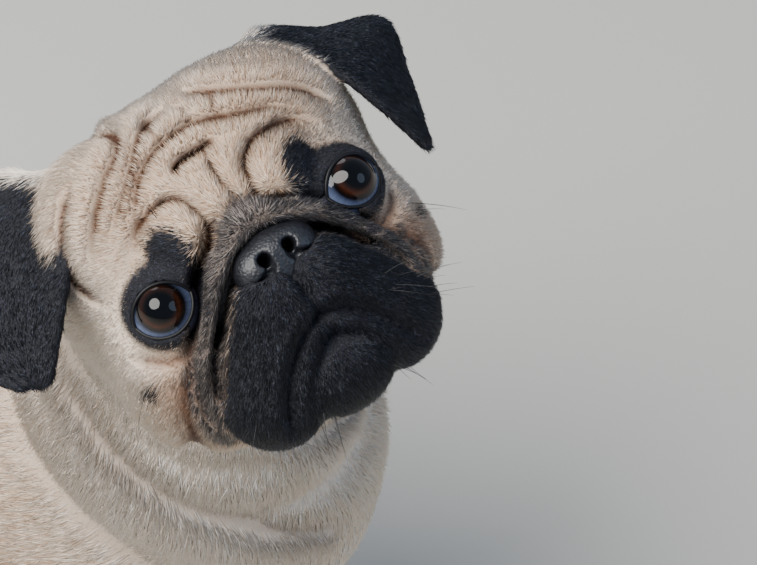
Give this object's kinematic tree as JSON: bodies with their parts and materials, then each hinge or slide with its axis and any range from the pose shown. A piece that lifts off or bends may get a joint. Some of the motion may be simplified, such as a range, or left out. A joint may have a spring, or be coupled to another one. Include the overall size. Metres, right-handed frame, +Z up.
{
  "type": "pug",
  "caption": "Life-size standing pug that looks up over its shoulder with its head tilted, with a black mask, folded ears and a curled tail.",
  "frame": {"origin": "centre of the bounding box's base, on the floor under the dog", "axes": "+Z up, -Y the way the body faces, +X towards the dog's left"},
  "size_m": [0.1996, 0.3586, 0.3973],
  "materials": {
    "fawn_fur": "short coat",
    "cream_fur": "short coat",
    "black_fur": "velvety short coat",
    "nose_leather": "pebbled, slightly moist",
    "eye": "wet and glossy"
  },
  "bodies": {
    "root": {"head": "fawn_fur", "muzzle": "black_fur", "nose": "nose_leather", "neck": "cream_fur", "chest": "fawn_fur", "loin": "fawn_fur", "tail_base": "fawn_fur", "tail_curl": "fawn_fur", "eye_left": "eye", "eye_right": "eye", "ear_left": "black_fur", "ear_right": "black_fur", "foreleg_left": "fawn_fur", "foreleg_right": "fawn_fur", "forepaw_left": "fawn_fur", "forepaw_right": "fawn_fur", "hindleg_left": "fawn_fur", "hindleg_right": "fawn_fur", "hindpaw_left": "fawn_fur", "hindpaw_right": "fawn_fur"}
  },
  "joints": []
}
